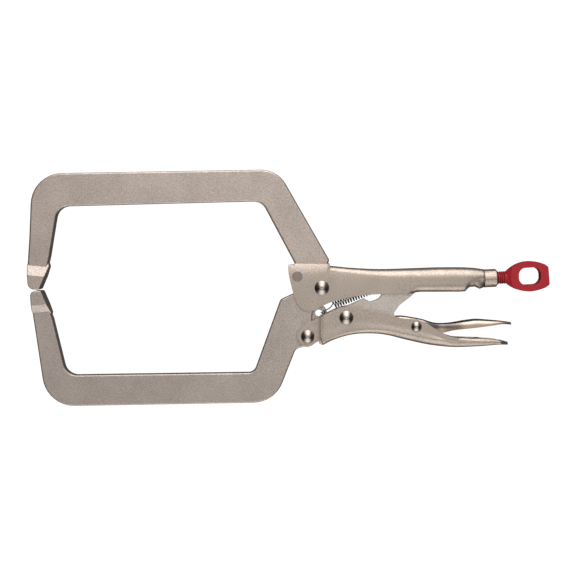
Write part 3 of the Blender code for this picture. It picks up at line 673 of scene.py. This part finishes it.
warm = node(tree, "ShaderNodeMix", [(0, low), (6, waist_painted_reflection)], data_type="RGBA", in7=srgb("d9ab84"))
tree.links.new(warm.outputs[2], shader.inputs["Base Color"])

rows = []
for x in sorted({round(p[0], 2) for p in fold_line + rim_line}):
    room = abs(at(fold_line, x) - at(rim_line, x))
    rows.append((x, at(fold_line, x), at(rim_line, x), at(wide_line, x),
                 min(2.4 + 1.8 * max(0.0, min(1.0, (x - 128.0) / 30.0)), 0.7 * room), 0.0, 0.0, 9.0))
lever = folded_sheet("release_lever_sheet", rows)
thicken(lever, LEVER_SHEET, LEVER_RIM)
done(lever, "release_lever", "release_lever", finish=lever_painted_reflection_steel)


# %% [markdown]
# ## Rivets
# The four hinge pins are solid rivets with polished domed heads. A head could be a squashed
# sphere, but its rim would be vertical; a slice from a larger ball meets the handle at a slope
# as a set rivet does. So a ball is added with its pole where the crown is, cut off at the
# handle's face, and a small dimple is pressed into the pole, where the setting tool stood.

# %% Rivets
DIMPLE_R = 1.1
DIMPLE_DEPTH = 0.28


def rivet(name, body, spot, head_r, shank_r):
    """Two domes and a shank, as high as the CAD rivet's box."""
    low, high = (corner.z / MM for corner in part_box(name))
    rise = RIVET_RISE[name]
    ball = (head_r ** 2 + rise ** 2) / (2 * rise)
    whole = cylinder(name + "_shank", spot, shank_r, low + rise - 0.2, high - rise + 0.2, 32)
    for face, crown in ((1, high), (-1, low)):
        bpy.ops.object.select_all(action="DESELECT")
        bpy.ops.mesh.primitive_uv_sphere_add(
            segments=64, ring_count=72, radius=ball * MM,
            location=(spot[0] * MM, spot[1] * MM, (crown - face * ball) * MM))
        dome = begin("dome")
        bpy.ops.object.transform_apply(location=True, rotation=True, scale=True)
        edit("FACE")
        bpy.ops.mesh.select_all(action="SELECT")
        bpy.ops.mesh.bisect(plane_co=(0, 0, (crown - face * rise) * MM), plane_no=(0, 0, face),
                            use_fill=True, clear_inner=True)
        bpy.ops.object.mode_set(mode="OBJECT")
        for corner in dome.data.vertices:
            away = math.hypot(corner.co.x / MM - spot[0], corner.co.y / MM - spot[1])
            if away < DIMPLE_R and abs(corner.co.z / MM - crown) < 0.5:
                corner.co.z -= face * DIMPLE_DEPTH * math.cos(away / DIMPLE_R * math.pi / 2) ** 2 * MM
        whole.select_set(True)
        dome.select_set(True)
        bpy.context.view_layer.objects.active = whole
        bpy.ops.object.join()
    whole.name = name + "_set"
    return done(whole, body, name, finish=rivet_steel, angle=50.0, slot="polished_steel")


RIVET_RISE = {"main_rivet": 2.9, "handle_rivet": 2.8, "link_rivet": 2.6, "lever_rivet": 2.2}
rivet("main_rivet", "frame", PIVOT_JAW, 6.4, 4.0)
rivet("handle_rivet", "lower_jaw", PIVOT_HANDLE, 5.95, 3.2)
rivet("link_rivet", "lower_handle", PIVOT_LINK, 6.05, 3.2)
rivet("lever_rivet", "lower_handle", PIVOT_LEVER, 4.6, 3.2)


# %% [markdown]
# ## Adjusting screw
# The screw that sets the opening has a coarse rolled thread of 2 mm pitch. It could be a plain
# rod with painted lines, but it comes out of the nut when it is backed off, and then its edge
# shows. A cylinder with many rings is laid along the screw's axis, and each point is moved out
# or in by where the thread's spiral passes it.

# %% Adjusting screw
SCREW_AXIS = Vector(joints["screw_travel"]["axis"]).normalized()
SCREW_POINT = Vector(joints["loop_turn"]["pos_m"])
SCREW_PLACE = Matrix.Translation(SCREW_POINT) @ SCREW_AXIS.to_track_quat("X", "Z").to_matrix().to_4x4()
THREAD_PITCH = 2.0
THREAD_R = 3.55
THREAD_RISE = 0.35
SCREW_BACK, SCREW_FRONT = -73.7, 4.4
RINGS = 240


def lay(piece):
    """Move a piece made along X from the origin onto the screw's axis."""
    piece.data.transform(SCREW_PLACE)
    return piece


bpy.ops.object.select_all(action="DESELECT")
bpy.ops.mesh.primitive_grid_add(x_subdivisions=RINGS, y_subdivisions=24, size=1)
screw = begin("adjusting_screw_threaded")
for corner in screw.data.vertices:
    along = SCREW_BACK + (corner.co.x + 0.5) * (SCREW_FRONT - SCREW_BACK)
    turn = 2 * math.pi * (corner.co.y + 0.5)
    wave = abs(((along / THREAD_PITCH - turn / (2 * math.pi)) % 1.0) * 2 - 1)
    radius = THREAD_R + THREAD_RISE * (2 * wave - 1)
    # it comes to a blunt point at the back, and is plain inside the loop's neck
    radius = min(radius, 2.4 + (along - SCREW_BACK) * 0.6)
    radius = 2.8 if along > -2.8 else radius
    corner.co = (along * MM, radius * math.cos(turn) * MM, radius * math.sin(turn) * MM)
edit("VERT")
bpy.ops.mesh.select_all(action="SELECT")
bpy.ops.mesh.remove_doubles(threshold=1e-6)
bpy.ops.mesh.select_all(action="DESELECT")
bpy.ops.mesh.select_mode(type="EDGE")
bpy.ops.mesh.select_non_manifold()
bpy.ops.mesh.edge_face_add()
bpy.ops.mesh.select_all(action="SELECT")
bpy.ops.mesh.normals_make_consistent(inside=False)
bpy.ops.object.mode_set(mode="OBJECT")
done(lay(screw), "screw_shank", "adjusting_screw", finish=rivet_steel, angle=60.0, slot="polished_steel")


# %% [markdown]
# ## Red finger loop
# The loop is a flat drop forging, coated red, with an eye for a bar and a ribbed neck pressed
# on the screw. Towards the neck both faces slope down from a curved step. Moulding it by hand
# would be slow; crossing the plate with a shallow cone for each face leaves both slopes.

# %% Red finger loop
LOOP_HALF = 5.2
red_coat, tree, shader = new_material("red_satin_coating")
here = node(tree, "ShaderNodeTexCoord").outputs["Object"]
grain = node(tree, "ShaderNodeTexNoise", [("Vector", here)], Scale=1 / (1.1 * MM), Detail=3.0).outputs["Fac"]
mottle = node(tree, "ShaderNodeMapRange", [(0, grain)], in1=0.3, in2=0.7, in3=0.0, in4=1.0).outputs[0]
colour = node(tree, "ShaderNodeMix", [(0, mottle)], data_type="RGBA",
              in6=srgb("b8212d"), in7=srgb("c42c38"))
tree.links.new(colour.outputs[2], shader.inputs["Base Color"])
skin = node(tree, "ShaderNodeBump", [("Height", grain)], Strength=0.3, Distance=0.05 * MM)
tree.links.new(skin.outputs[0], shader.inputs["Normal"])
shader.inputs["Roughness"].default_value = 0.5
shader.inputs["Specular IOR Level"].default_value = 0.35

loop = plate("screw_loop_flat", rounded(
    smooth([(4.6, 5.0), (9.0, 8.1), (15.5, 11.5), (23.0, 13.2), (31.5, 12.6), (38.8, 10.0)])
    + [(41.7, 7.6, 1.5), (42.3, -7.9, 1.5)]
    + smooth([(38.8, -10.4), (32.0, -12.4), (24.0, -13.2), (15.5, -11.6), (9.0, -8.3), (4.6, -5.0)])),
    -LOOP_HALF, LOOP_HALF)
EYE_R = 6.2
eye = plate("eye", rounded([(15.6, -7.3, EYE_R), (34.8, -7.3, EYE_R), (34.8, 7.7, EYE_R),
                            (15.6, 7.7, EYE_R)]), -20, 20)
loop = combine(loop, eye, "DIFFERENCE")
for face in (1, -1):
    bpy.ops.object.select_all(action="DESELECT")
    bpy.ops.mesh.primitive_cone_add(vertices=128, radius1=200 * MM, radius2=25.3 * MM, depth=120 * MM,
                                    location=(34 * MM, 0, face * (LOOP_HALF - 60) * MM),
                                    rotation=(0 if face > 0 else math.pi, 0, 0))
    slope = begin("slope")
    bpy.ops.object.transform_apply(location=True, rotation=True, scale=True)
    loop = combine(loop, slope, "INTERSECT")
apply_modifier(loop, "BEVEL", width=1.3 * MM, segments=3, angle_limit=math.radians(40))


def disc(name, start, stop, radius, edge=0.0):
    """Round piece along the loop's own X axis."""
    bpy.ops.object.select_all(action="DESELECT")
    bpy.ops.mesh.primitive_cylinder_add(vertices=40, radius=radius * MM, depth=(stop - start) * MM,
                                        location=((start + stop) / 2 * MM, 0, 0),
                                        rotation=(0, math.pi / 2, 0))
    piece = begin(name)
    bpy.ops.object.transform_apply(location=True, rotation=True, scale=True)
    if edge:
        apply_modifier(piece, "BEVEL", width=edge * MM, segments=2, angle_limit=math.radians(60))
    return piece


NECK_R, RIB_R = 3.6, 5.6
RIB_PITCH = 1.8
loop = combine(loop, disc("neck", -2.3, 9.0, NECK_R, 0.2), "UNION")
for rib in range(4):
    loop = combine(loop, disc("rib", -2.2 + RIB_PITCH * rib, -1.4 + RIB_PITCH * rib, RIB_R, 0.15), "UNION")
loop = combine(loop, disc("bore", -9.0, 5.1, 3.1), "DIFFERENCE")
loop.name = "screw_loop_coated"
done(lay(loop), "screw_loop", "screw_loop", finish=red_coat, angle=32.0, slot="red_coating")


# %% [markdown]
# ## Return spring
# A long tension coil pulls the toggle open. It is hooked into the moving arm's lug and into
# a tab inside the upper handle, so it has to stretch with the jaw. It could be a screw
# modifier, but the hooks need a path of their own, so one curve runs through both hooks and
# the coil, gets its wire's thickness and is converted to a mesh.

# %% Return spring
COIL_R = 3.0
WIRE_R = 0.5
COIL_PITCH = 2.4
COIL_TURNS = 21
COIL_START = Vector((40.2, -14.7, 0))
COIL_RISE = math.radians(21.0)
POINTS_PER_TURN = 16
TAB_HOLE = (95.8, 7.0)
along = Vector((math.cos(COIL_RISE), math.sin(COIL_RISE), 0))
across = Vector((-math.sin(COIL_RISE), math.cos(COIL_RISE), 0))
up = Vector((0, 0, 1))
FRONT_HOOK = ((32.6, -21.2, -2.4), (31.0, -21.9, -2.5), (29.4, -21.9, -1.8), (28.9, -21.6, -0.6),
              (28.9, -21.5, 0.8), (29.4, -21.6, 2.2), (31.0, -22.0, 2.9), (32.4, -21.2, 3.0),
              (32.2, -20.0, 2.9), (30.9, -20.0, 2.6), (31.4, -20.2, 2.3), (33.0, -19.2, 2.5),
              (36.0, -17.6, 2.5), (38.0, -15.6, 2.4), (39.2, -13.6, 1.4))
path = [Vector(p) for p in FRONT_HOOK]
for k in range(COIL_TURNS * POINTS_PER_TURN + 1):
    a = 2 * math.pi * k / POINTS_PER_TURN
    path.append(COIL_START + along * (COIL_PITCH * k / POINTS_PER_TURN)
                + (across * math.cos(a) + up * math.sin(a)) * COIL_R)
tx, ty = TAB_HOLE
path += [Vector(p) for p in ((tx - 4.6, ty + 0.4, 1.6), (tx - 1.4, ty + 0.2, 2.2), (tx - 0.2, ty, 1.4),
                             (tx, ty, 0.4), (tx, ty, -2.0))]
wire = bpy.data.curves.new("return_spring_wire", "CURVE")
wire.dimensions = "3D"
wire.bevel_depth = WIRE_R * MM
wire.bevel_resolution = 2
wire.use_fill_caps = True
thread = wire.splines.new("POLY")
thread.points.add(len(path) - 1)
for point, spot in zip(thread.points, path):
    point.co = (spot.x * MM, spot.y * MM, (MID + spot.z) * MM, 1.0)
spring = bpy.data.objects.new("return_spring_wire", wire)
bpy.context.scene.collection.objects.link(spring)
bpy.ops.object.select_all(action="DESELECT")
spring.select_set(True)
bpy.context.view_layer.objects.active = spring
bpy.ops.object.convert(target="MESH")
spring = bpy.context.object
bpy.ops.object.shade_smooth_by_angle(angle=math.radians(50))
dress(spring, wire_steel)
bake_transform(spring)
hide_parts("return_spring")
print("spring", len(spring.data.polygons), "faces")
